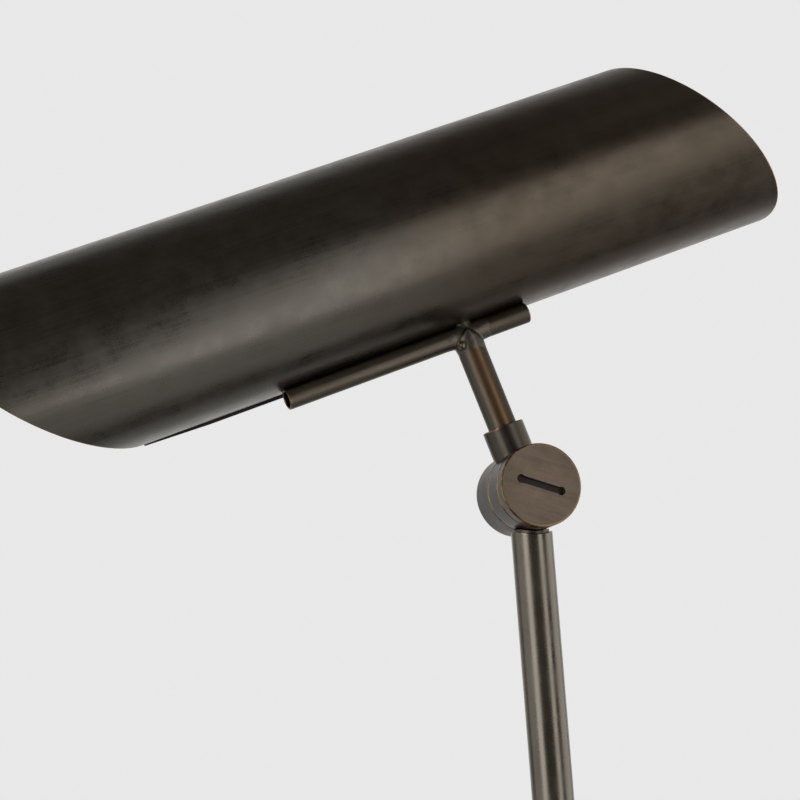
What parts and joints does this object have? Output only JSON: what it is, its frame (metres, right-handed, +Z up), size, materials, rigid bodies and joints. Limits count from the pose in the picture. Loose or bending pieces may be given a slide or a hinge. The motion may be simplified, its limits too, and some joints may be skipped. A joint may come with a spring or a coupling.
{
  "type": "floor lamp",
  "caption": "Floor lamp with a trough shade on a stem that tilts on a slotted friction knuckle and swivels in its collar, on a leaning arm, a post and a weighted round base.",
  "frame": {"origin": "middle of the felt's underside, on the floor", "axes": "+Z up, -Y towards the slotted faces of the knuckles and the shade's back, +Y towards the shade's opening, +X to the right seen from -Y"},
  "size_m": [0.4287, 0.2556, 1.4002],
  "materials": {
    "aged_bronze": "dark antique patina, satin, faintly brushed",
    "worn_bronze": "brown patina worn to brass on the edges",
    "braze": "lumpy braze, lightly patinated",
    "bare_brass": "bare turned brass",
    "cast_iron": "rough casting",
    "felt": "dense black felt",
    "rubber": "matte black rubber",
    "steel": "zinc plated, satin",
    "bulb_metal": "drawn aluminium",
    "phenolic": "black moulded plastic",
    "nylon": "natural nylon",
    "lead_sleeve": "gold coloured insulation",
    "porcelain": "glazed porcelain",
    "bulb_glass": "frosted glass"
  },
  "bodies": {
    "base": {"base_felt": "felt", "base_weight": "cast_iron", "base_cover": "aged_bronze", "base_stud": "bare_brass", "base_washer": "steel", "base_nut": "steel", "cord_bushing": "rubber", "post_flange": "aged_bronze", "post_plug": "bare_brass", "post_tube": "aged_bronze", "switch_housing": "aged_bronze", "switch_body": "phenolic", "switch_nut": "bare_brass", "lower_fixed_disc": "worn_bronze"},
    "dimmer": {"dimmer_shaft": "steel", "dimmer_knob": "worn_bronze", "knob_set_screw": "steel"},
    "lower_clamp": {"lower_clamp_screw": "worn_bronze"},
    "arm": {"lower_washers": "bare_brass", "lower_tilt_disc": "worn_bronze", "arm_tube": "aged_bronze", "arm_set_screw": "steel", "arm_lead": "lead_sleeve", "upper_fixed_disc": "worn_bronze"},
    "upper_clamp": {"upper_clamp_screw": "worn_bronze"},
    "head": {"upper_washers": "bare_brass", "upper_tilt_disc": "worn_bronze", "swivel_screw": "steel"},
    "lampshade": {"stem_tube": "aged_bronze", "stem_bushing": "nylon", "stem_lead": "lead_sleeve", "cross_bar": "aged_bronze", "joint_braze": "braze", "shade": "aged_bronze", "lead_grommet": "rubber", "socket_bracket": "steel", "socket_nipple": "bare_brass", "socket_nut": "bare_brass", "socket_body": "porcelain", "socket_contact": "bare_brass", "bulb_cap": "bulb_metal", "bulb_glass": "bulb_glass"}
  },
  "joints": [
    {"name": "arm_tilt", "type": "hinge", "parent": "base", "child": "arm", "pos_m": [0, 0, 0.7267], "axis": [0, 1, 0], "range_deg": [-70, 78]},
    {"name": "head_tilt", "type": "hinge", "parent": "arm", "child": "head", "pos_m": [-0.03557, 0, 1.20538], "axis": [0, 1, 0], "range_deg": [-90, 125]},
    {"name": "shade_swivel", "type": "hinge", "parent": "head", "child": "lampshade", "pos_m": [-0.03557, 0, 1.20538], "axis": [-0.3843, 0, 0.9232], "range_deg": [-170, 170]},
    {"name": "upper_clamp_turn", "type": "hinge", "parent": "arm", "child": "upper_clamp", "pos_m": [-0.03557, 0, 1.20538], "axis": [0, -1, 0], "range_deg": [0, 180]},
    {"name": "lower_clamp_turn", "type": "hinge", "parent": "base", "child": "lower_clamp", "pos_m": [0, 0, 0.7267], "axis": [0, -1, 0], "range_deg": [0, 180]},
    {"name": "dimmer_turn", "type": "hinge", "parent": "base", "child": "dimmer", "pos_m": [0, -0.0265, 0.679], "axis": [0, -1, 0], "range_deg": [-300, 0]}
  ]
}
